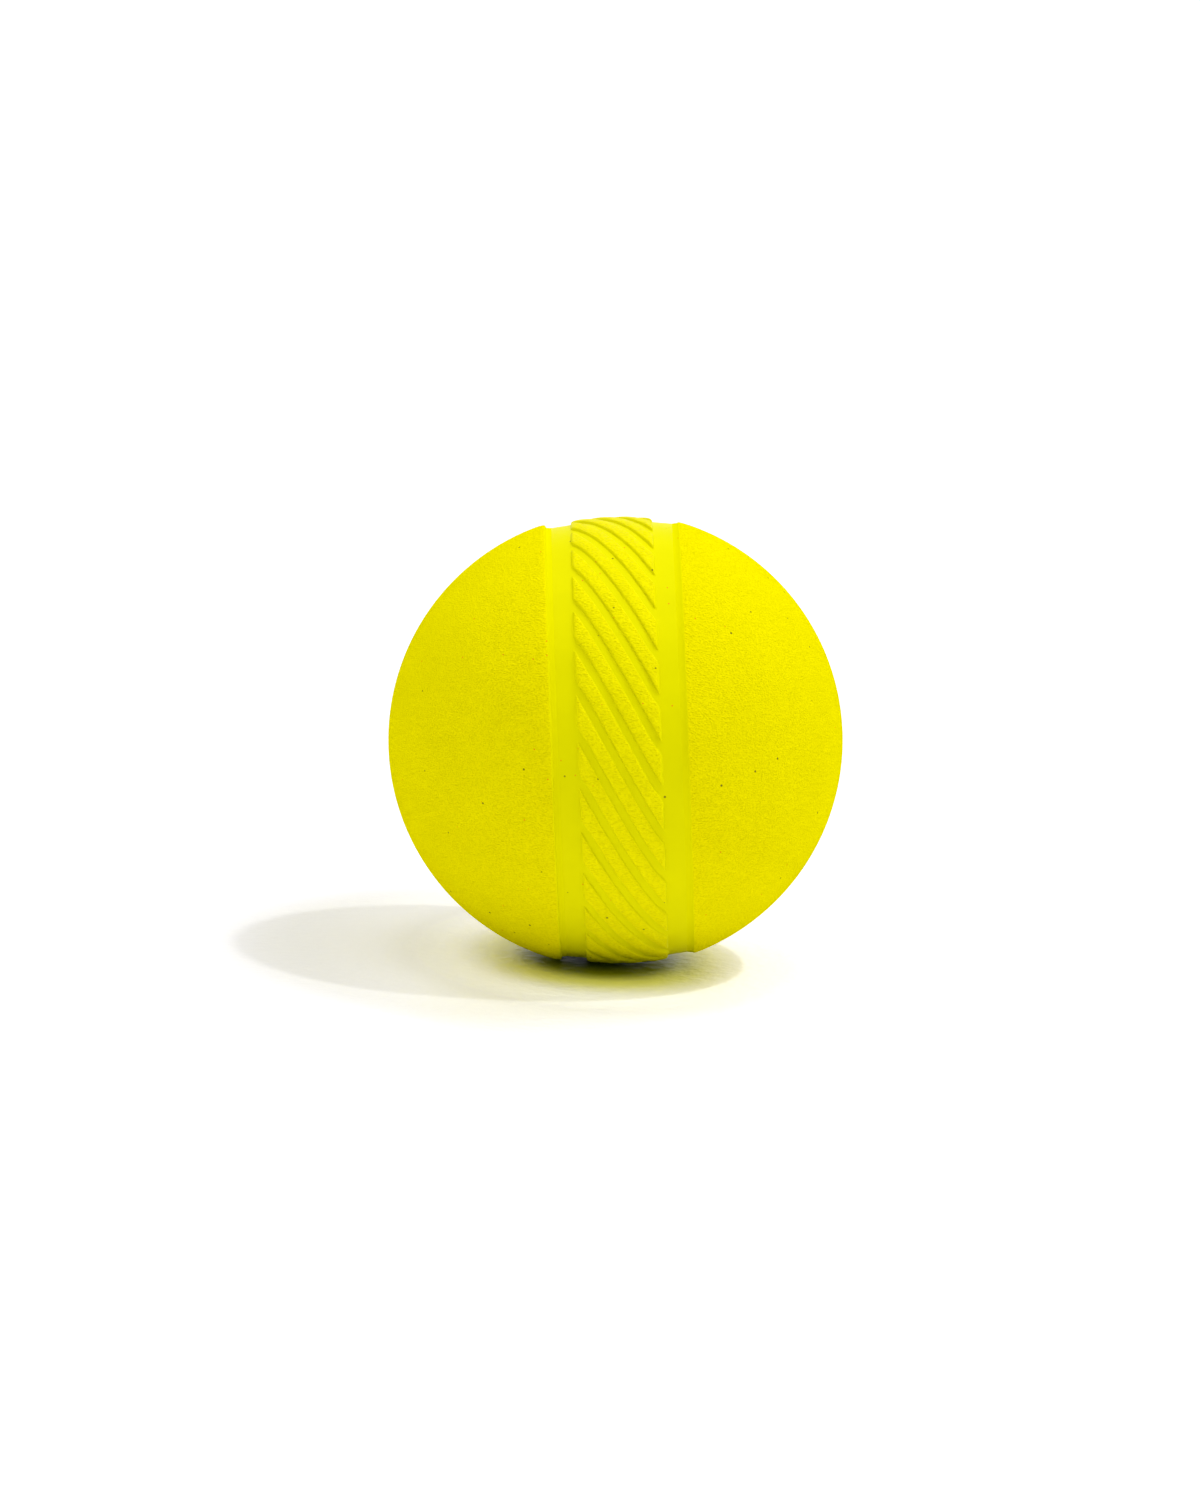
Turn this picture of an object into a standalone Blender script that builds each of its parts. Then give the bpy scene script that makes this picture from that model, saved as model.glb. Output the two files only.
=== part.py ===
"""A full-size foam cricket ball: a foam core inside two cheek cups, with a ribbed seam band between them.

Metres, +Z up. The origin is the centre of the ball. The ball's axis, through the middle of both cheeks,
lies along X, and the seam band runs round that axis.
"""

import math

import bmesh
import bpy

MM = 0.001

# Driving dimensions of the whole ball
BALL_RADIUS = 36.0 * MM
COVER_THICKNESS = 7.7 * MM
GLUE_GAP = 0.3 * MM
REST_DEPTH = 0.3 * MM

# Driving dimensions of the seam band
BELT_HALF_WIDTH = 9.3 * MM
BELT_RADIUS = 34.65 * MM
BELT_CROWN_RADIUS = 82.0 * MM
FLANGE_WIDTH = 3.5 * MM
FLANGE_DEPTH = 2.4 * MM

# Driving dimensions of the ribs on the band
RIB_COUNT = 30
RIB_LEAN = math.radians(26.5)
RIB_HALF_WIDTH = 6.8 * MM
RIB_SHARE = 0.64
RIB_CREST_RADIUS = 35.4 * MM
RIB_CROWN_RADIUS = 45.0 * MM
RIB_ROOT = 0.5 * MM
RIB_WALL_SHARE = 0.2
SIDE_ROUNDING = 4
END_ROUNDING = 14
CORNER_CUT = 0.3
CORNER_ROUNDING = 8

# Driving dimensions of the cheeks' rims
SHOULDER_START = 11.5 * MM
CHAMFER_TOP = 10.5 * MM
CHAMFER_DIP = 0.06 * MM

# Colours and roughness of the foam
CHEEK_COLOUR = (0.87, 0.79, 0.005)
CHEEK_ROUGHNESS = 0.7
BAND_COLOUR = (0.88, 0.81, 0.01)
BAND_ROUGHNESS = 0.5
CORE_COLOUR = (0.80, 0.74, 0.12)
CORE_ROUGHNESS = 0.9

# How finely the round shapes are cut
TURN_STEPS = 60
DOME_STEPS = 13
HOLLOW_STEPS = 5
CROWN_STEPS = 6
CORE_SEGMENTS = 36
RIB_LENGTH_CUTS = 10
RIB_WIDTH_CUTS = 4
LENGTH_CROWDING = 0.7
WIDTH_CROWDING = 0.4
AXIS_MERGE = 0.01 * MM
SHARP_ANGLE = math.radians(40)

# Sizes that follow from the driving dimensions
COVER_INNER_RADIUS = BALL_RADIUS - COVER_THICKNESS
CORE_RADIUS = COVER_INNER_RADIUS - GLUE_GAP
RIM_PLANE = BELT_HALF_WIDTH + GLUE_GAP
FLANGE_END = BELT_HALF_WIDTH + FLANGE_WIDTH
REST_HEIGHT = RIB_CREST_RADIUS - REST_DEPTH
RIB_PITCH = 2 * math.pi / RIB_COUNT
RIB_TURN_PER_LENGTH = 1 / (math.tan(RIB_LEAN) * BELT_RADIUS)
QUARTER_TURN = math.pi / 2


def clear_scene():
    for thing in list(bpy.data.objects):
        bpy.data.objects.remove(thing, do_unlink=True)


def new_collection(name):
    collection = bpy.data.collections.new(name)
    bpy.context.scene.collection.children.link(collection)
    return collection


def foam(name, colour, roughness):
    material = bpy.data.materials.new(name)
    material.use_nodes = True
    shader = material.node_tree.nodes["Principled BSDF"]
    shader.inputs["Base Color"].default_value = (*colour, 1.0)
    shader.inputs["Roughness"].default_value = roughness
    shader.inputs["Metallic"].default_value = 0.0
    material.diffuse_color = (*colour, 1.0)
    return material


def new_object(name, mesh, collection, material=None):
    thing = bpy.data.objects.new(name, mesh)
    collection.objects.link(thing)
    if material:
        mesh.materials.append(material)
    return thing


def off_sphere(radius, along_axis):
    """Distance from the ball's axis to a sphere round the ball's centre, at a place along the axis."""
    return math.sqrt(radius**2 - along_axis**2)


def barrel(middle_radius, crown_radius, along_axis):
    """Distance from the ball's axis to a barrel that is fullest in the seam plane."""
    return middle_radius - crown_radius + off_sphere(crown_radius, along_axis)


def belt_floor(along_axis):
    return barrel(BELT_RADIUS, BELT_CROWN_RADIUS, along_axis)


def flange_top():
    return belt_floor(BELT_HALF_WIDTH) - FLANGE_DEPTH


def rib_crest(along_axis):
    return barrel(RIB_CREST_RADIUS, RIB_CROWN_RADIUS, along_axis)


def sphere_arc(radius, first, last, steps):
    """Profile points (from axis, along axis) on a sphere, between two places along the axis."""
    first_angle = math.acos(first / radius)
    last_angle = math.acos(last / radius)
    angles = [first_angle + (last_angle - first_angle) * step / steps for step in range(steps + 1)]
    return [(radius * math.sin(angle), radius * math.cos(angle)) for angle in angles]


def turned(name, profile, closed, collection, material):
    """Turns a profile of (from axis, along axis) points once round the axis, which is the object's own Z."""
    mesh = bpy.data.meshes.new(name)
    points = [(from_axis, 0.0, along_axis) for from_axis, along_axis in profile]
    edges = [(index, index + 1) for index in range(len(points) - 1)]
    if closed:
        edges.append((len(points) - 1, 0))
    mesh.from_pydata(points, edges, [])
    thing = new_object(name, mesh, collection, material)
    screw = thing.modifiers.new("turn", "SCREW")
    screw.axis = "Z"
    screw.steps = TURN_STEPS
    screw.render_steps = TURN_STEPS
    screw.use_merge_vertices = True
    screw.merge_threshold = AXIS_MERGE
    return thing


def settle(part):
    """Makes the modifiers' result the part's own mesh, smooth over the round and sharp at the corners."""
    bpy.context.view_layer.update()
    graph = bpy.context.evaluated_depsgraph_get()
    mesh = bpy.data.meshes.new_from_object(part.evaluated_get(graph))
    mesh.name = part.name
    part.modifiers.clear()
    part.data = mesh
    mesh.shade_smooth()
    mesh.set_sharp_from_angle(angle=SHARP_ANGLE)


def make_cheek(name, turn, collection, material):
    """A cup with a chamfered shoulder, a flat rim facing the belt and a rebate that laps over the flange."""
    rebate_roof = flange_top() + GLUE_GAP
    rebate_end = FLANGE_END + GLUE_GAP
    profile = sphere_arc(BALL_RADIUS, BALL_RADIUS, SHOULDER_START, DOME_STEPS)
    profile.append((off_sphere(BALL_RADIUS, CHAMFER_TOP) - CHAMFER_DIP, CHAMFER_TOP))
    profile.append((belt_floor(BELT_HALF_WIDTH), RIM_PLANE))
    profile += [(rebate_roof, RIM_PLANE), (rebate_roof, rebate_end)]
    profile += sphere_arc(COVER_INNER_RADIUS, rebate_end, COVER_INNER_RADIUS, HOLLOW_STEPS)
    cheek = turned(name, profile, False, collection, material)
    cheek.rotation_euler = (0.0, turn, 0.0)
    settle(cheek)
    return cheek


def make_belt(collection, material):
    """The ring under the ribs: a crowned belt with a thin flange on each side, hollow for the core."""
    profile = [(flange_top(), FLANGE_END), (flange_top(), BELT_HALF_WIDTH)]
    for step in range(CROWN_STEPS + 1):
        along_axis = BELT_HALF_WIDTH * (1 - 2 * step / CROWN_STEPS)
        profile.append((belt_floor(along_axis), along_axis))
    profile += [(flange_top(), -BELT_HALF_WIDTH), (flange_top(), -FLANGE_END)]
    profile += sphere_arc(COVER_INNER_RADIUS, -FLANGE_END, FLANGE_END, CROWN_STEPS)
    belt = turned("seam_band", profile, True, collection, material)
    belt.rotation_euler = (0.0, QUARTER_TURN, 0.0)
    return belt


def crowd_to_edges(place, power):
    """Moves an even row of cuts, from -1 to 1, towards its two ends, where a rib is roundest."""
    return math.copysign(abs(place) ** power, place)


def pad(place, rounding):
    """Height of a rounded pad, from 1 in the middle to 0 at -1 and 1."""
    return math.sqrt(max(0.0, 1 - abs(place) ** rounding))


def add_rib(mesh_builder, index):
    """One rib: a plate of many faces, thickened, crowned and laid aslant, with its root in the belt."""
    grid = bmesh.ops.create_grid(
        mesh_builder,
        x_segments=RIB_LENGTH_CUTS,
        y_segments=RIB_WIDTH_CUTS,
        size=1.0,
    )
    plate = {face for corner in grid["verts"] for face in corner.link_faces}
    thickened = bmesh.ops.extrude_face_region(mesh_builder, geom=list(plate))
    top = [item for item in thickened["geom"] if isinstance(item, bmesh.types.BMVert)]
    middle_angle = RIB_PITCH * (index + 0.5)

    def lay_on_belt(corner, is_top):
        length_place = crowd_to_edges(corner.co.x, LENGTH_CROWDING)
        width_place = crowd_to_edges(corner.co.y, WIDTH_CROWDING)
        along_axis = RIB_HALF_WIDTH * length_place
        is_blunt_side = length_place * width_place < 0
        drawn_in = CORNER_CUT * abs(length_place) ** CORNER_ROUNDING if is_blunt_side else 0.0
        side_angle = width_place * (1 - drawn_in) * RIB_SHARE * RIB_PITCH / 2
        angle = middle_angle + RIB_TURN_PER_LENGTH * along_axis + side_angle
        floor = belt_floor(along_axis)
        if is_top:
            roundness = pad(width_place, SIDE_ROUNDING) * pad(length_place, END_ROUNDING)
            height = RIB_WALL_SHARE + (1 - RIB_WALL_SHARE) * roundness
            from_axis = floor + (rib_crest(along_axis) - floor) * height
        else:
            from_axis = floor - RIB_ROOT
        corner.co = (from_axis * math.cos(angle), from_axis * math.sin(angle), along_axis)

    for corner in top:
        lay_on_belt(corner, True)
    for corner in grid["verts"]:
        lay_on_belt(corner, False)


def make_ribs(collection):
    mesh_builder = bmesh.new()
    for index in range(RIB_COUNT):
        add_rib(mesh_builder, index)
    bmesh.ops.recalc_face_normals(mesh_builder, faces=mesh_builder.faces[:])
    mesh = bpy.data.meshes.new("ribs")
    mesh_builder.to_mesh(mesh)
    mesh_builder.free()
    ribs = new_object("ribs", mesh, collection)
    ribs.rotation_euler = (0.0, QUARTER_TURN, 0.0)
    return ribs


def make_rest_cutter(collection):
    """A block whose top is the surface that the ball stands on, where its foam gives a little."""
    width = RIB_CREST_RADIUS
    depth = 2 * MM
    mesh_builder = bmesh.new()
    bmesh.ops.create_cube(mesh_builder, size=1.0)
    bmesh.ops.scale(mesh_builder, vec=(width, width, depth), verts=mesh_builder.verts[:])
    mesh = bpy.data.meshes.new("rest_cutter")
    mesh_builder.to_mesh(mesh)
    mesh_builder.free()
    cutter = new_object("rest_cutter", mesh, collection)
    cutter.location = (0.0, 0.0, -REST_HEIGHT - depth / 2)
    return cutter


def combine(part, other, operation):
    """Joins or cuts a part with a helper that is itself left out of the finished ball."""
    other.hide_render = True
    other.display_type = "WIRE"
    boolean = part.modifiers.new(other.name, "BOOLEAN")
    boolean.operation = operation
    boolean.solver = "EXACT"
    boolean.object = other


def make_core(collection, material):
    mesh_builder = bmesh.new()
    bmesh.ops.create_uvsphere(
        mesh_builder,
        u_segments=CORE_SEGMENTS,
        v_segments=CORE_SEGMENTS // 2,
        radius=CORE_RADIUS,
    )
    mesh = bpy.data.meshes.new("foam_core")
    mesh_builder.to_mesh(mesh)
    mesh_builder.free()
    core = new_object("foam_core", mesh, collection, material)
    core.rotation_euler = (0.0, QUARTER_TURN, 0.0)
    mesh.shade_smooth()
    return core


def main():
    clear_scene()
    parts = new_collection("foam_cricket_ball")
    helpers = new_collection("helpers")
    cheek_foam = foam("cheek_foam", CHEEK_COLOUR, CHEEK_ROUGHNESS)
    band_foam = foam("band_foam", BAND_COLOUR, BAND_ROUGHNESS)
    core_foam = foam("core_foam", CORE_COLOUR, CORE_ROUGHNESS)

    seam_band = make_belt(parts, band_foam)
    combine(seam_band, make_ribs(helpers), "UNION")
    combine(seam_band, make_rest_cutter(helpers), "DIFFERENCE")
    settle(seam_band)
    pieces = [
        make_core(parts, core_foam),
        make_cheek("left_cheek", -QUARTER_TURN, parts, cheek_foam),
        make_cheek("right_cheek", QUARTER_TURN, parts, cheek_foam),
        seam_band,
    ]

    centre = bpy.data.objects.new("ball_centre", None)
    parts.objects.link(centre)
    for piece in pieces:
        piece.parent = centre


main()
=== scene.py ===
"""The looks of the foam cricket ball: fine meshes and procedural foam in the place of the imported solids.

Metres, +Z up. The ball's axis lies along X and the seam band runs round it. A place on the ball is given
by how far it is along the axis, how far from the axis, and its turn about the axis from the lowest point.
"""

import math

import bpy
import numpy as np
from mathutils import Matrix, Vector, noise


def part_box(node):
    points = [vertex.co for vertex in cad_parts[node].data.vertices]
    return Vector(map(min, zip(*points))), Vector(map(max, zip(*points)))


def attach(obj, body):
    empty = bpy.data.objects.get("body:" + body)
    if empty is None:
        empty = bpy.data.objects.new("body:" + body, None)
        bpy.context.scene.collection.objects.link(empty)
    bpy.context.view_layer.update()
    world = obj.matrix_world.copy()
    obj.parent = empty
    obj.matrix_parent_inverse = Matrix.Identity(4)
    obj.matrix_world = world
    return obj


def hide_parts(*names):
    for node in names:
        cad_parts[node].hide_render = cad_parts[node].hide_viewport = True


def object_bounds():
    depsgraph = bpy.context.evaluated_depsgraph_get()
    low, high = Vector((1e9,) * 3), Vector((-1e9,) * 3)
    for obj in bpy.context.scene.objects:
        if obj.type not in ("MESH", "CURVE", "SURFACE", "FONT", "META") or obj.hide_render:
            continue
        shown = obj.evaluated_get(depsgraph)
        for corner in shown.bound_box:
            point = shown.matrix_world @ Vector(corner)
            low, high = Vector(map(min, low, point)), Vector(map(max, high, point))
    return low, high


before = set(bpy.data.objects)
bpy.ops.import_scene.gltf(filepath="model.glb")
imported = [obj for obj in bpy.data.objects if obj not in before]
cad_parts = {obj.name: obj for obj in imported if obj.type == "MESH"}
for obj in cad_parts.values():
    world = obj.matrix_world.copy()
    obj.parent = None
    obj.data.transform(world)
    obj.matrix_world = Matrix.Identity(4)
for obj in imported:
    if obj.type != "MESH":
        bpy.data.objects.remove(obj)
CAD_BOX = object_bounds()

MM = 0.001

# Sizes read from the frame
BALL_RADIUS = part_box("right_cheek")[1].x
CORE_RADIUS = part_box("foam_core")[1].x
FLANGE_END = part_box("seam_band")[1].x
FLOOR_HEIGHT = CAD_BOX[0].z

# Sizes of the belt and the cheeks' rims. Places along the axis are from the seam's own middle
SEAM_SHIFT = 0.62 * MM
BELT_RADIUS = 34.58 * MM
BELT_CROWN_RADIUS = 70.0 * MM
RIM_PLACE = 9.5 * MM
CHAMFER_END = 10.35 * MM
CHAMFER_RISE = 0.08 * MM
RIM_CORNER = 10.6 * MM
SHOULDER_END = 12.0 * MM
FLANGE_DEPTH = 2.4 * MM
GLUE_GAP = 0.3 * MM
COVER_INNER_RADIUS = CORE_RADIUS + GLUE_GAP

# Sizes of the ribs, and of the grooves that rise a little between them
RIB_COUNT = 30
RIB_PHASE = 0.42
RIB_LEAN = math.radians(27.3)
RIB_HALF_LENGTH = 6.45 * MM
RIB_SHARE = 0.63
RIB_CREST_RADIUS = 35.4 * MM
RIB_CROWN_RADIUS = 45.0 * MM
RIB_DOME_SHARE = 0.25
RIB_SIDE_ROUNDING = 14.0
RIB_END_EASE = 0.6
CORNER_ROUNDING = 0.18 * MM
FLARE_WIDTH = 0.26 * MM
FLARE_LENGTH = 1.8 * MM
FLARE_BLEND = 0.3 * MM
EDGE_WOBBLE = 0.05 * MM
EDGE_WOBBLE_LENGTH = 2.5 * MM
CREASE_DEPTH = 0.07 * MM
CREASE_WIDTH = 0.26 * MM
GROOVE_RISE = 0.36 * MM
GROOVE_FLAT_END = 2.5 * MM
GROOVE_RISE_END = 7.5 * MM

RIB_PITCH = 2 * math.pi / RIB_COUNT
RIB_TURN_PER_LENGTH = 1 / (math.tan(RIB_LEAN) * BELT_RADIUS)
ACROSS_PER_TURN = BELT_RADIUS * math.sin(RIB_LEAN)
RIB_HALF_ACROSS = RIB_SHARE * RIB_PITCH / 2 * ACROSS_PER_TURN

# How finely the meshes are cut
CHEEK_TURNS = 300
DOME_STEPS = 90
SHOULDER_STEPS = 10
HOLLOW_STEPS = 12
CORE_TURNS = 160
RIB_MIDDLE_CUTS = 13
RIB_END_CUTS = 20
RIB_END_INSIDE = 1.4 * MM
RIB_END_OUTSIDE = 0.2 * MM
CHANNEL_CUTS = 8
RIB_TOP_CUTS = 5
RIB_SIDE_CUTS = 17
GROOVE_CUTS = 6
POLE_RADIUS = 0.15 * MM
SHARP_ANGLE = math.radians(50)

# The core's cut skin
CORE_PIT_LENGTH = 2.2 * MM
CORE_PIT_DEPTH = 0.35 * MM

# The foam's colours, how much they wander, and how the skins shine
# Smooth skin, in the channels, grooves and chamfers, is darker: its own greener tone and painted shade in
# these hollows
CHEEK_GRAINY = (0.88, 0.79, 0.0, 1.0)
CHEEK_SMOOTH = (0.81, 0.77, 0.0, 1.0)
BAND_GRAINY = (0.90, 0.83, 0.0, 1.0)
BAND_SMOOTH = (0.80, 0.765, 0.0, 1.0)
CORE_COLOUR = (0.80, 0.74, 0.12, 1.0)
CLOUD_SCALE = 130.0
CLOUD_DETAIL = 3.0
CLOUD_RANGE = (0.35, 0.65)
CLOUD_SHADE = 0.975
SKIN_ROUGHNESS = 0.35
CORE_ROUGHNESS = 0.85
ROUGHNESS_SPREAD = 0.05
CHEEK_SPECULAR = 0.0
BAND_SPECULAR = 0.007
CORE_SPECULAR = 0.1

# The foam's grain: wrinkles that run along the axis, with darker pores between them: the foam's own pores
# and painted shade in the wrinkles' hollows
GRAIN_SCALE = 4800.0
GRAIN_DETAIL = 0.5
GRAIN_RANGE = (0.3, 0.7)
GRAIN_STRETCH = (0.45, 1.0, 1.0)
GRAIN_DEPTH = 0.22 * MM
GRAIN_STRENGTH = 1.0
SMOOTH_STRENGTH = 0.04
GRAINY_COVER = (0.55, 0.85)
PORE_RANGE = (0.34, 0.54)
PORE_DEPTH = 0.5
PORE_AND_HOLLOW_SHADE = 0.82

# Specks in the foam
SPECKS = (
    {"scale": 330.0, "size": 0.08, "share": 0.4, "colour": (0.20, 0.17, 0.01, 1.0)},
    {"scale": 470.0, "size": 0.075, "share": 0.35, "colour": (0.80, 0.28, 0.01, 1.0)},
)
SPECK_SOFTNESS = 0.5

# The paper floor: its colours by the distance from the contact, its gloss, its painted glow outside the
# shadow
FLOOR_LIT = (0.965, 0.965, 0.955, 1.0)
CONTACT_PLACE = (-0.4 * MM, 1.3 * MM, 0.0)
CONTACT_SHAPE = (1.0, 1.34, 1.0)
CONTACT_REACH = 50.0 * MM
# Painted shade: the paper that lights the ball is dark within these distances of the contact, darkening the
# ball's underside
CONTACT_PAINTED_SHADE = (8.0 * MM, 20.0 * MM)
# Seen colours by distance from the contact: a painted contact shadow, painted yellow light from the ball,
# brighter than white in a ring
FLOOR_SEEN_PAINTED_SHADE_AND_GLOW = (
    (5.0 * MM, (0.12, 0.20, 0.02, 1.0)),
    (10.0 * MM, (0.50, 0.53, 0.0, 1.0)),
    (15.0 * MM, (1.32, 1.31, 0.44, 1.0)),
    (22.0 * MM, (1.32, 1.32, 1.50, 1.0)),
    (32.0 * MM, (0.93, 0.92, 0.95, 1.0)),
    (CONTACT_REACH, (0.80, 0.79, 0.78, 1.0)),
)
# The painted glow outside the shadow: its size, where it starts, how strong it is and its bluish colour
HALO_SHAPE = (1.4, 1.9)
HALO_START = 0.6
HALO_LIFT = 0.37
HALO_COLOUR = (0.6, 0.6, 1.0, 1.0)
PAPER_GLOSS = 0.45
PAPER_ROUGHNESS = 0.35
PAPER_SCALE = 500.0
PAPER_DEPTH = 0.25 * MM
FLOOR_SIZE = 8.0
FLOOR_SLOPE = math.radians(3.0)
FLOOR_PITCH = math.radians(-1.1)
FOAM_GIVE = 0.15 * MM

# The light
WHITE = (1.0, 1.0, 1.0, 1.0)
LEFT_LEVEL = 0.65
RIGHT_LEVEL = 0.95
TOP_LEVEL = 2.43
TOP_FOCUS = 5.0
KEY_DIRECTION = Vector((0.54, 0.03, 0.84))
KEY_ANGLE = math.radians(2.5)
KEY_LEVEL = 0.71

# The photograph's frame, in its pixels, and where the ball's middle is in it
PHOTO_WIDTH = 1200
PHOTO_HEIGHT = 1500
BALL_PIXEL = (615.5, 740.0)
BALL_PIXEL_RADIUS = 227.3
CAMERA_DISTANCE = 1.12
CAMERA_ELEVATION = math.radians(11.4)
CAMERA_ROLL = math.radians(2.1)
CAMERA_REACH = 20.0
SENSOR = 36.0


def off_sphere(radius, along):
    return np.sqrt(radius**2 - np.square(along))


def barrel(middle_radius, crown_radius, along):
    return middle_radius - crown_radius + off_sphere(crown_radius, along)


def smooth_step(low, high, value):
    place = np.clip((value - low) / (high - low), 0, 1)
    return place * place * (3 - 2 * place)


def smooth_max(first, second, rounding):
    """The larger of two distances, with the corner between them rounded off."""
    overlap = np.clip(rounding - np.abs(first - second), 0, None) / rounding
    return np.maximum(first, second) + overlap**2 * rounding / 4


def wobble(points, length):
    """Smooth noise from about -1 to 1 at each point."""
    flat = points.reshape(-1, 3) / length
    values = [noise.noise(Vector(point)) for point in flat]
    return np.array(values).reshape(points.shape[:-1])


def belt_floor(from_seam):
    return barrel(BELT_RADIUS, BELT_CROWN_RADIUS, from_seam)


def groove_floor(from_seam, across):
    """The belt between the ribs: a little higher there, with a crease along each rib's lower side."""
    rise = smooth_step(GROOVE_RISE_END, GROOVE_FLAT_END, np.abs(from_seam))
    past_rib = across - RIB_HALF_ACROSS
    crease = smooth_step(CREASE_WIDTH, 0, past_rib) * (across > 0)
    return belt_floor(from_seam) + (GROOVE_RISE - CREASE_DEPTH * crease) * rise


def rib_crest(from_seam):
    return barrel(RIB_CREST_RADIUS, RIB_CROWN_RADIUS, from_seam)


FLANGE_TOP = float(belt_floor(RIM_PLACE)) - FLANGE_DEPTH


def on_ball(along, from_axis, turn):
    """World places from the distance along the axis, the distance from it and the turn about it."""
    along, from_axis, turn = np.broadcast_arrays(along, from_axis, turn)
    return np.stack([along, from_axis * np.sin(turn), -from_axis * np.cos(turn)], axis=-1)


def new_piece(name, points, faces, material, graininess):
    """A smooth-shaded foam piece. Graininess says, for each point, how grainy the skin is there."""
    mesh = bpy.data.meshes.new(name)
    mesh.from_pydata(points.reshape(-1, 3).tolist(), [], faces)
    mesh.validate()
    mesh.materials.append(material)
    mesh.shade_smooth()
    mesh.set_sharp_from_angle(angle=SHARP_ANGLE)
    grain = mesh.attributes.new("graininess", "FLOAT", "POINT")
    grain.data.foreach_set("value", graininess.ravel().astype(np.float32))
    piece = bpy.data.objects.new(name, mesh)
    bpy.context.scene.collection.objects.link(piece)
    return piece


def ring_faces(rows, columns, rows_join, flip):
    """Quads over a grid of points whose columns join round, and whose rows may."""
    faces = []
    for row in range(rows if rows_join else rows - 1):
        for column in range(columns):
            next_row = (row + 1) % rows
            next_column = (column + 1) % columns
            face = (
                row * columns + column,
                row * columns + next_column,
                next_row * columns + next_column,
                next_row * columns + column,
            )
            faces.append(face[::-1] if flip else face)
    return faces


def sphere_arc(radius, first, last, steps):
    """Profile points (along, from axis) on a sphere, between two places along the axis."""
    angles = np.linspace(math.acos(first / radius), math.acos(last / radius), steps + 1)
    return [(radius * math.cos(angle), radius * math.sin(angle)) for angle in angles]


def fillet(before, corner, after, steps):
    """Points on a smooth curve that leaves and meets two straight lines short of their corner."""
    before, corner, after = (np.array(point) for point in (before, corner, after))
    curve = []
    for step in range(steps + 1):
        t = step / steps
        curve.append(tuple((1 - t) ** 2 * before + 2 * t * (1 - t) * corner + t**2 * after))
    return curve


def make_cheek(name, side, material):
    """A cup: a grainy dome, a step and a smooth chamfer down to the belt, and a rebate over the flange."""
    turns = np.linspace(0, 2 * math.pi, CHEEK_TURNS, endpoint=False)
    shift = side * SEAM_SHIFT
    rebate_end = FLANGE_END + GLUE_GAP
    rim = (RIM_PLACE + shift, float(belt_floor(RIM_PLACE)))
    chamfer_end = (CHAMFER_END + shift, rim[1] + CHAMFER_RISE)
    corner = (RIM_CORNER + shift, float(off_sphere(BALL_RADIUS, RIM_CORNER + shift)))
    shoulder = (SHOULDER_END + shift, float(off_sphere(BALL_RADIUS, SHOULDER_END + shift)))
    step_middle = tuple((np.array(corner) + np.array(chamfer_end)) / 2)
    dome_end = math.sqrt(BALL_RADIUS**2 - POLE_RADIUS**2)
    hollow_end = math.sqrt(COVER_INNER_RADIUS**2 - POLE_RADIUS**2)

    dome = sphere_arc(BALL_RADIUS, dome_end, shoulder[0], DOME_STEPS)
    edge = fillet(shoulder, corner, step_middle, SHOULDER_STEPS)[1:]
    inside = [chamfer_end, rim, (rim[0], FLANGE_TOP + GLUE_GAP), (rebate_end, FLANGE_TOP + GLUE_GAP)]
    inside += sphere_arc(COVER_INNER_RADIUS, rebate_end, hollow_end, HOLLOW_STEPS)
    profile = np.array(dome + edge + inside)
    grainy = (profile[:, 0] > RIM_CORNER + shift) & (np.arange(len(profile)) < len(dome) + len(edge))

    points = on_ball(side * profile[:, :1], profile[:, 1:], turns[None, :])
    rows = len(profile)
    faces = ring_faces(rows, CHEEK_TURNS, False, side > 0)
    first_ring = list(range(CHEEK_TURNS))
    last_ring = [(rows - 1) * CHEEK_TURNS + column for column in range(CHEEK_TURNS)]
    faces += [first_ring[::-1], last_ring] if side < 0 else [first_ring, last_ring[::-1]]
    graininess = np.tile(grainy[:, None], (1, CHEEK_TURNS))
    return new_piece(name, points, faces, material, graininess)


def rib_cover(from_seam, across, waver):
    """How much of its full height a rib has at a place, from 0 on the belt to 1 on the rib's crest."""
    at_blunt_corner = smooth_step(-FLARE_BLEND, FLARE_BLEND, -across * np.sign(from_seam))
    at_blunt_corner *= smooth_step(RIB_HALF_LENGTH - FLARE_LENGTH, RIB_HALF_LENGTH, np.abs(from_seam))
    past_side = np.abs(across) - RIB_HALF_ACROSS - FLARE_WIDTH * at_blunt_corner + waver
    past_end = (np.abs(from_seam) - RIB_HALF_LENGTH) * RIB_END_EASE + waver
    inside = -smooth_max(past_side, past_end, CORNER_ROUNDING)
    place = 1 - np.clip(inside / RIB_HALF_ACROSS, 0, 1)
    wall = np.sqrt(np.clip(1 - place**RIB_SIDE_ROUNDING, 0, 1))
    return wall * (1 - RIB_DOME_SHARE * place**2)


def band_columns():
    """Places along the axis from the seam's middle, close together where the ribs end."""
    ends_start = RIB_HALF_LENGTH - RIB_END_INSIDE
    ends_stop = RIB_HALF_LENGTH + RIB_END_OUTSIDE
    middle = np.linspace(0, ends_start, RIB_MIDDLE_CUTS)
    ends = np.linspace(ends_start, ends_stop, RIB_END_CUTS)[1:]
    channel = np.linspace(ends_stop, RIM_PLACE, CHANNEL_CUTS)[1:]
    half = np.concatenate([middle, ends, channel])
    return np.concatenate([-half[:0:-1], half])


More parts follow.
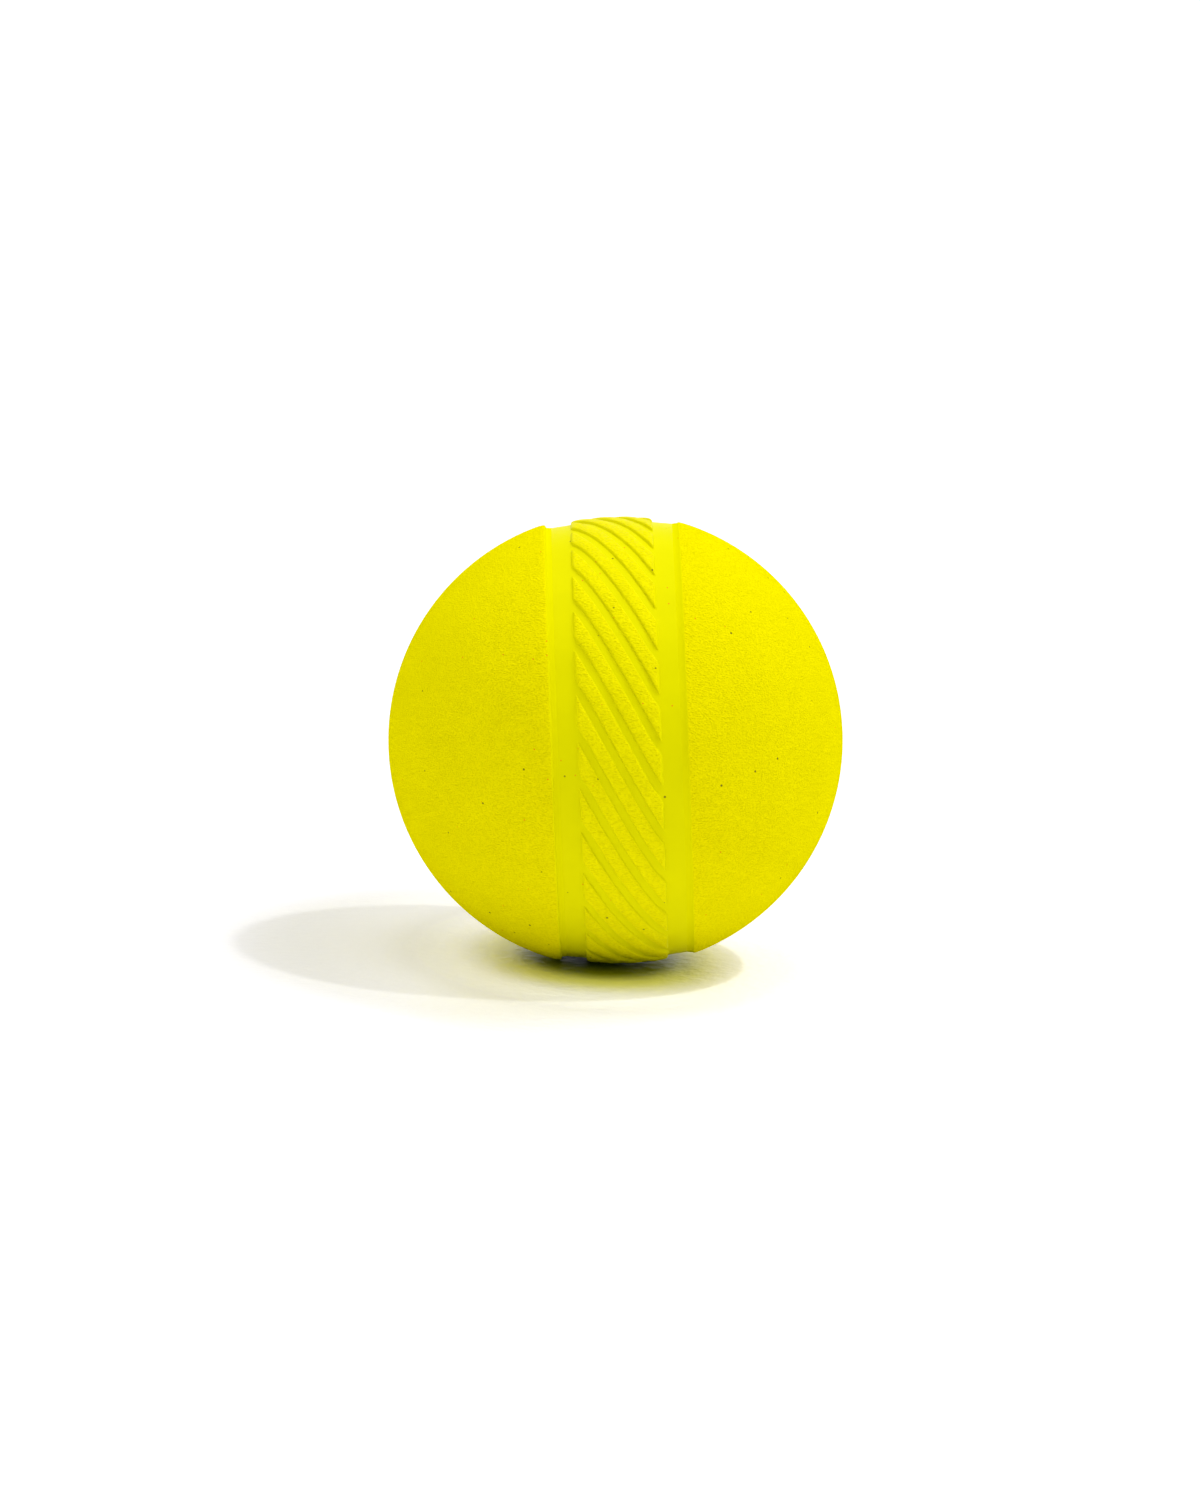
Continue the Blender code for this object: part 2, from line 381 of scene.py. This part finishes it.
def band_rows():
    """Distances across one rib and its groove from the rib's middle, close together at the rib's sides."""
    half_pitch = RIB_PITCH / 2 * ACROSS_PER_TURN
    side_start = RIB_HALF_ACROSS / 2
    side_stop = RIB_HALF_ACROSS + FLARE_WIDTH + EDGE_WOBBLE
    top = np.linspace(0, side_start, RIB_TOP_CUTS)
    side = np.linspace(side_start, side_stop, RIB_SIDE_CUTS)[1:]
    groove = np.linspace(side_stop, half_pitch, GROOVE_CUTS)[1:]
    half = np.concatenate([top, side, groove])
    return np.concatenate([-half[-2:0:-1], half])


def make_band(material):
    """The ring between the cheeks: smooth belt, slanted ribs and the flanges that the cheeks lap over."""
    one_rib = band_rows()
    middles = RIB_PITCH * (np.arange(RIB_COUNT) + RIB_PHASE)
    row_turns = (middles[:, None] + one_rib[None, :] / ACROSS_PER_TURN).ravel()
    from_seam, across = np.meshgrid(band_columns(), np.tile(one_rib, RIB_COUNT))
    along = from_seam + SEAM_SHIFT
    turn = row_turns[:, None] + RIB_TURN_PER_LENGTH * along
    floor = groove_floor(from_seam, across)
    waver = EDGE_WOBBLE * wobble(on_ball(along, floor, turn), EDGE_WOBBLE_LENGTH)
    cover = rib_cover(from_seam, across, waver)
    outside = floor + (rib_crest(from_seam) - floor) * cover

    inner = [(along[0, -1], FLANGE_TOP), (FLANGE_END, FLANGE_TOP)]
    inner += sphere_arc(COVER_INNER_RADIUS, FLANGE_END, -FLANGE_END, HOLLOW_STEPS)
    inner += [(-FLANGE_END, FLANGE_TOP), (along[0, 0], FLANGE_TOP)]
    inner = np.array(inner)
    rows = len(row_turns)
    whole_along = np.concatenate([along, np.tile(inner[:, 0], (rows, 1))], axis=1)
    whole_radius = np.concatenate([outside, np.tile(inner[:, 1], (rows, 1))], axis=1)
    whole_turn = row_turns[:, None] + RIB_TURN_PER_LENGTH * whole_along
    points = on_ball(whole_along, whole_radius, whole_turn)
    points[..., 2] = np.maximum(points[..., 2], FLOOR_HEIGHT)

    graininess = np.zeros(whole_along.shape)
    graininess[:, : cover.shape[1]] = smooth_step(*GRAINY_COVER, cover)
    faces = ring_faces(rows, whole_along.shape[1], True, True)
    return new_piece("moulded_seam_band", points, faces, material, graininess)


def make_core(material):
    """The cut foam ball inside, with the shallow pits of its cut skin."""
    turns = np.linspace(0, 2 * math.pi, CORE_TURNS, endpoint=False)
    pole = POLE_RADIUS / CORE_RADIUS
    angles = np.linspace(pole, math.pi - pole, CORE_TURNS // 2)
    along = CORE_RADIUS * np.cos(angles)[:, None]
    from_axis = CORE_RADIUS * np.sin(angles)[:, None]
    points = on_ball(along, from_axis, turns[None, :])
    pits = np.clip(wobble(points, CORE_PIT_LENGTH), 0, 1)
    points *= (1 - CORE_PIT_DEPTH / CORE_RADIUS * pits)[..., None]
    rows = len(angles)
    faces = ring_faces(rows, CORE_TURNS, False, True)
    faces.append(list(range(CORE_TURNS)))
    faces.append([(rows - 1) * CORE_TURNS + column for column in range(CORE_TURNS)][::-1])
    return new_piece("cut_foam_core", points, faces, material, np.ones(points.shape[:2]))


class Nodes:
    """Short ways to add and join the nodes of one shader."""

    def __init__(self, tree):
        self.tree = tree
        tree.nodes.clear()

    def add(self, kind, **settings):
        made = self.tree.nodes.new(kind)
        for name, value in settings.items():
            setattr(made, name, value)
        return made

    def fill(self, socket, value):
        """Links a socket, or stores a plain value in it."""
        if isinstance(value, bpy.types.NodeSocket):
            self.tree.links.new(value, socket)
        else:
            socket.default_value = value

    def put(self, node, **inputs):
        """Fills sockets by name, with _ for a space."""
        for name, value in inputs.items():
            self.fill(node.inputs[name.replace("_", " ")], value)
        return node

    def noise(self, place, scale, detail=2.0):
        made = self.put(self.add("ShaderNodeTexNoise"), Vector=place, Scale=scale, Detail=detail)
        return made.outputs["Fac"]

    def math(self, operation, first, second):
        made = self.add("ShaderNodeMath", operation=operation)
        self.fill(made.inputs[0], first)
        self.fill(made.inputs[1], second)
        return made.outputs[0]

    def ramp(self, value, low, high, to_low=0.0, to_high=1.0):
        made = self.add("ShaderNodeMapRange", interpolation_type="SMOOTHSTEP")
        self.put(made, Value=value, From_Min=low, From_Max=high, To_Min=to_low, To_Max=to_high)
        return made.outputs["Result"]

    def mix(self, amount, first, second):
        made = self.add("ShaderNodeMix", data_type="RGBA")
        for name, value in (("Factor", amount), ("A", first), ("B", second)):
            self.fill(next(one for one in made.inputs if one.name == name and one.enabled), value)
        return next(one for one in made.outputs if one.enabled)


def new_material(name):
    material = bpy.data.materials.new(name)
    material.use_nodes = True
    return material, Nodes(material.node_tree)


def shaded(colour, share):
    return tuple(share * channel for channel in colour[:3]) + (1.0,)


def add_specks(nodes, place, colour):
    """Sparse flecks in the foam, some dark and some orange, each a small ball cut by the skin."""
    for speck in SPECKS:
        cells = nodes.add("ShaderNodeTexVoronoi", feature="F1")
        nodes.put(cells, Vector=place, Scale=speck["scale"])
        dot = nodes.ramp(cells.outputs["Distance"], speck["size"], speck["size"] * SPECK_SOFTNESS)
        chance = nodes.put(nodes.add("ShaderNodeSeparateColor"), Color=cells.outputs["Color"])
        chosen = nodes.math("LESS_THAN", chance.outputs["Red"], speck["share"])
        colour = nodes.mix(nodes.math("MULTIPLY", dot, chosen), colour, speck["colour"])
    return colour


def foam_material(name, grainy, smooth, roughness, specular):
    """Moulded foam skin: mottled yellow with specks, and a fine wrinkled grain where the skin is grainy."""
    material, nodes = new_material(name)
    place = nodes.add("ShaderNodeTexCoord").outputs["Object"]
    mask = nodes.add("ShaderNodeAttribute", attribute_name="graininess").outputs["Fac"]
    along = nodes.put(nodes.add("ShaderNodeMapping"), Vector=place, Scale=GRAIN_STRETCH).outputs["Vector"]
    wrinkle = nodes.noise(along, GRAIN_SCALE, GRAIN_DETAIL)
    cloud = nodes.ramp(nodes.noise(place, CLOUD_SCALE, CLOUD_DETAIL), *CLOUD_RANGE)
    colour = nodes.mix(
        cloud,
        nodes.mix(mask, shaded(smooth, CLOUD_SHADE), shaded(grainy, CLOUD_SHADE)),
        nodes.mix(mask, smooth, grainy),
    )
    # Darker where the wrinkles are low: the foam's own pores and painted shade in their hollows
    pores_and_hollow_shade = nodes.math("MULTIPLY", mask, nodes.ramp(wrinkle, *PORE_RANGE, PORE_DEPTH, 0.0))
    colour = nodes.mix(pores_and_hollow_shade, colour, shaded(grainy, PORE_AND_HOLLOW_SHADE))
    colour = add_specks(nodes, place, colour)
    least_rough = roughness - ROUGHNESS_SPREAD
    most_rough = roughness + ROUGHNESS_SPREAD
    bump = nodes.put(
        nodes.add("ShaderNodeBump"),
        Strength=nodes.ramp(mask, 0.0, 1.0, SMOOTH_STRENGTH, GRAIN_STRENGTH),
        Distance=GRAIN_DEPTH,
        Height=wrinkle,
    )
    skin = nodes.put(
        nodes.add("ShaderNodeBsdfPrincipled"),
        Base_Color=colour,
        Roughness=nodes.ramp(wrinkle, *GRAIN_RANGE, least_rough, most_rough),
        Specular_IOR_Level=specular,
        Normal=bump.outputs["Normal"],
    )
    nodes.put(nodes.add("ShaderNodeOutputMaterial"), Surface=skin.outputs["BSDF"])
    return material


def seen_directly(nodes):
    """1 for the rays that look at a surface or see it in a reflection, 0 for those that carry its light."""
    path = nodes.add("ShaderNodeLightPath").outputs
    seen = nodes.math("MAXIMUM", path["Is Camera Ray"], path["Is Glossy Ray"])
    return nodes.math("MAXIMUM", seen, path["Is Transmission Ray"])


def reach_from(nodes, centre, scale):
    """How far a place on the floor is from a centre, in shares of a scale for each direction."""
    place = nodes.add("ShaderNodeMapping", vector_type="TEXTURE")
    nodes.put(
        place,
        Vector=nodes.add("ShaderNodeTexCoord").outputs["Object"],
        Location=centre,
        Scale=scale,
    )
    reach = nodes.add("ShaderNodeVectorMath", operation="LENGTH")
    nodes.fill(reach.inputs[0], place.outputs["Vector"])
    return reach.outputs["Value"]


def seen_paper(nodes, from_contact):
    """The paper as it is looked at: a little glossy, with a painted shadow and painted yellow light close
    to the ball.
    """
    colour = FLOOR_SEEN_PAINTED_SHADE_AND_GLOW[0][1]
    for (start, _), (stop, next_colour) in zip(FLOOR_SEEN_PAINTED_SHADE_AND_GLOW, FLOOR_SEEN_PAINTED_SHADE_AND_GLOW[1:]):
        amount = nodes.ramp(from_contact, start / CONTACT_REACH, stop / CONTACT_REACH)
        colour = nodes.mix(amount, colour, next_colour)
    place = nodes.add("ShaderNodeTexCoord").outputs["Object"]
    relief = nodes.put(
        nodes.add("ShaderNodeBump"), Distance=PAPER_DEPTH, Height=nodes.noise(place, PAPER_SCALE)
    )
    paper = nodes.put(
        nodes.add("ShaderNodeBsdfPrincipled"),
        Base_Color=colour,
        Roughness=PAPER_ROUGHNESS,
        Specular_IOR_Level=PAPER_GLOSS,
        Normal=relief.outputs["Normal"],
    )
    return paper.outputs["BSDF"]


def lit_paper(nodes, from_contact):
    """The paper as it lights the ball: matt white, and dark close to the contact, painted shade that
    darkens the ball's underside.
    """
    dark_stop, white_start = (place / CONTACT_REACH for place in CONTACT_PAINTED_SHADE)
    whiteness = nodes.ramp(from_contact, dark_stop, white_start)
    colour = nodes.mix(whiteness, FLOOR_SEEN_PAINTED_SHADE_AND_GLOW[0][1], FLOOR_LIT)
    return nodes.put(nodes.add("ShaderNodeBsdfDiffuse"), Color=colour).outputs["BSDF"]


def painted_halo(nodes, seen, tilt, lowest):
    """A painted glow, bluish, that makes the paper paler outside the shadow, for the rays that look at it.
    """
    key = tilt.inverted() @ KEY_DIRECTION
    lean = Vector((key.x / key.z, key.y / key.z, 0.0))
    shadow_length = BALL_RADIUS * math.sqrt(1 + lean.length_squared)
    halo_size = Vector((shadow_length * HALO_SHAPE[0], BALL_RADIUS * HALO_SHAPE[1], 1.0))
    from_shadow = reach_from(nodes, lean * lowest, halo_size)
    lift = nodes.ramp(from_shadow, HALO_START, 1.0, 0.0, HALO_LIFT)
    strength = nodes.math("MULTIPLY", seen, lift)
    glow = nodes.put(nodes.add("ShaderNodeEmission"), Color=HALO_COLOUR, Strength=strength)
    return glow.outputs["Emission"]


def floor_material(tilt, lowest):
    """White paper that keeps the ball's shadow, with painted shade, painted light and a painted glow on it
    where it is looked at.
    """
    material, nodes = new_material("pale_floor")
    seen = seen_directly(nodes)
    from_contact = reach_from(nodes, CONTACT_PLACE, Vector(CONTACT_SHAPE) * CONTACT_REACH)
    paper = nodes.put(nodes.add("ShaderNodeMixShader"), Fac=seen)
    nodes.fill(paper.inputs[1], lit_paper(nodes, from_contact))
    nodes.fill(paper.inputs[2], seen_paper(nodes, from_contact))
    both = nodes.add("ShaderNodeAddShader")
    nodes.fill(both.inputs[0], paper.outputs["Shader"])
    nodes.fill(both.inputs[1], painted_halo(nodes, seen, tilt, lowest))
    nodes.put(nodes.add("ShaderNodeOutputMaterial"), Surface=both.outputs["Shader"])
    return material


def make_floor(band):
    """A wide sheet that the ball stands on. It runs down to the right in the rolled camera's picture."""
    half = FLOOR_SIZE / 2
    tilt = Matrix.Rotation(CAMERA_ROLL + FLOOR_SLOPE, 3, "Y") @ Matrix.Rotation(FLOOR_PITCH, 3, "X")
    upward = tilt @ Vector((0.0, 0.0, 1.0))
    lowest = min(upward.dot(vertex.co) for vertex in band.data.vertices) + FOAM_GIVE
    corners = [(-half, -half), (half, -half), (half, half), (-half, half)]
    mesh = bpy.data.meshes.new("floor")
    mesh.from_pydata([(x, y, 0.0) for x, y in corners], [], [(0, 1, 2, 3)])
    mesh.materials.append(floor_material(tilt, lowest))
    floor = bpy.data.objects.new("floor", mesh)
    floor.matrix_world = Matrix.Translation(upward * lowest) @ tilt.to_4x4()
    bpy.context.scene.collection.objects.link(floor)


def make_light():
    """A white tent lit from its sides, with a softbox overhead, and a small key lamp high on the right."""
    world = bpy.data.worlds.new("studio")
    bpy.context.scene.world = world
    world.use_nodes = True
    nodes = Nodes(world.node_tree)
    outward = nodes.add("ShaderNodeTexCoord").outputs["Generated"]
    direction = nodes.put(nodes.add("ShaderNodeSeparateXYZ"), Vector=outward).outputs
    right = nodes.math("MAXIMUM", nodes.math("MULTIPLY", direction["X"], RIGHT_LEVEL), 0.0)
    left = nodes.math("MAXIMUM", nodes.math("MULTIPLY", direction["X"], -LEFT_LEVEL), 0.0)
    overhead = nodes.math("POWER", nodes.math("MAXIMUM", direction["Z"], 0.0), TOP_FOCUS)
    level = nodes.math("ADD", nodes.math("ADD", right, left), nodes.math("MULTIPLY", overhead, TOP_LEVEL))
    tent = nodes.put(nodes.add("ShaderNodeBackground"), Color=WHITE, Strength=level)
    white = nodes.put(nodes.add("ShaderNodeBackground"), Color=WHITE, Strength=1.0)
    chosen = nodes.put(nodes.add("ShaderNodeMixShader"), Fac=seen_directly(nodes))
    nodes.fill(chosen.inputs[1], tent.outputs["Background"])
    nodes.fill(chosen.inputs[2], white.outputs["Background"])
    nodes.put(nodes.add("ShaderNodeOutputWorld"), Surface=chosen.outputs["Shader"])

    key = bpy.data.lights.new("key", "SUN")
    key.angle = KEY_ANGLE
    key.energy = KEY_LEVEL
    lamp = bpy.data.objects.new("key", key)
    bpy.context.scene.collection.objects.link(lamp)
    lamp.rotation_euler = KEY_DIRECTION.to_track_quat("Z", "Y").to_euler()


def make_camera():
    """A long lens from a little above the front, rolled so that the seam leans to the left at its top."""
    data = bpy.data.cameras.new("camera")
    data.sensor_width = SENSOR
    silhouette = BALL_RADIUS / math.sqrt(CAMERA_DISTANCE**2 - BALL_RADIUS**2)
    data.lens = BALL_PIXEL_RADIUS / silhouette * SENSOR / PHOTO_HEIGHT
    data.shift_x = (PHOTO_WIDTH / 2 - BALL_PIXEL[0]) / PHOTO_HEIGHT
    data.shift_y = (BALL_PIXEL[1] - PHOTO_HEIGHT / 2) / PHOTO_HEIGHT
    data.clip_end = CAMERA_REACH
    camera = bpy.data.objects.new("camera", data)
    bpy.context.scene.collection.objects.link(camera)
    back = Vector((0.0, -math.cos(CAMERA_ELEVATION), math.sin(CAMERA_ELEVATION)))
    right = Vector((1.0, 0.0, 0.0))
    up = back.cross(right)
    rolled_right = right * math.cos(CAMERA_ROLL) - up * math.sin(CAMERA_ROLL)
    rolled_up = back.cross(rolled_right)
    axes = Matrix((rolled_right, rolled_up, back)).transposed()
    camera.matrix_world = Matrix.Translation(back * CAMERA_DISTANCE) @ axes.to_4x4()
    bpy.context.scene.camera = camera


def main():
    cheek_foam = foam_material("cheek_foam", CHEEK_GRAINY, CHEEK_SMOOTH, SKIN_ROUGHNESS, CHEEK_SPECULAR)
    band_foam = foam_material("band_foam", BAND_GRAINY, BAND_SMOOTH, SKIN_ROUGHNESS, BAND_SPECULAR)
    core_foam = foam_material("core_foam", CORE_COLOUR, CORE_COLOUR, CORE_ROUGHNESS, CORE_SPECULAR)
    pieces = {
        "left_cheek": make_cheek("left_cheek_skin", -1, cheek_foam),
        "right_cheek": make_cheek("right_cheek_skin", 1, cheek_foam),
        "seam_band": make_band(band_foam),
        "foam_core": make_core(core_foam),
    }
    for node, piece in pieces.items():
        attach(piece, "root")
        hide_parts(node)
    make_floor(pieces["seam_band"])
    make_light()
    make_camera()
    bpy.context.scene.view_settings.view_transform = "Standard"


main()
